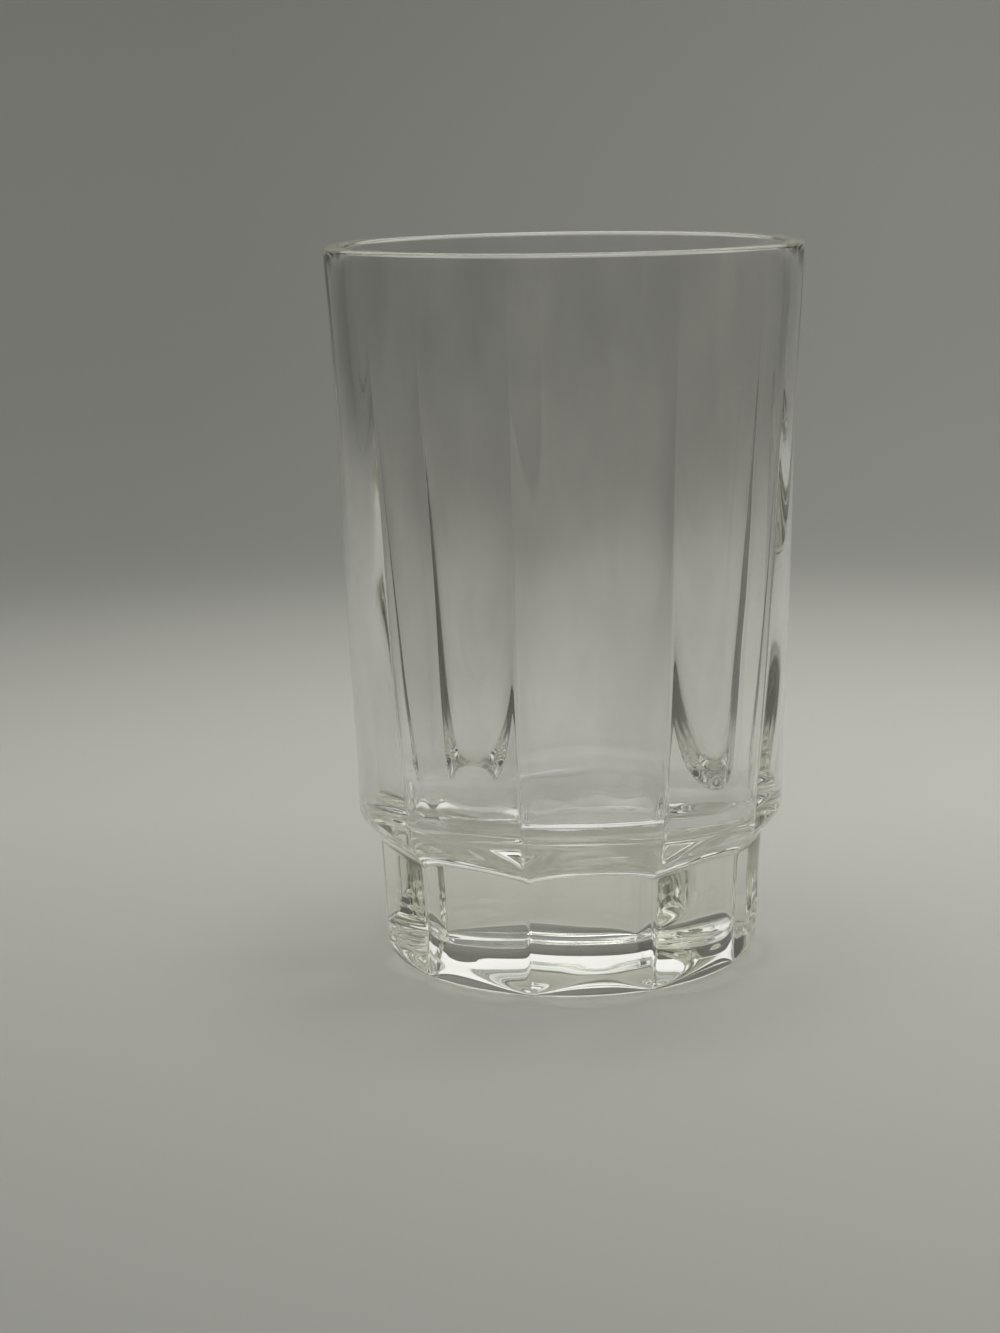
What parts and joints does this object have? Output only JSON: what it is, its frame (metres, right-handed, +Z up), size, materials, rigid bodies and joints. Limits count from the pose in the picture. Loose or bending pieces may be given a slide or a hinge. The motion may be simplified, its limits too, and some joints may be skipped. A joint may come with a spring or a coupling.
{
  "type": "juice glass",
  "caption": "Stacking juice glass of clear pressed glass with bulging upright panels, a round lip, a scalloped stacking step and a thick panelled foot.",
  "frame": {"origin": "centre of the base, on the standing surface", "axes": "+Z up along the glass's axis, out of its mouth; -Y faces the viewer of the picture; +X to the viewer's right"},
  "size_m": [0.0654, 0.0654, 0.1],
  "materials": {
    "glass": "clear, fire polished"
  },
  "bodies": {
    "root": {"tumbler": "glass"}
  },
  "joints": []
}
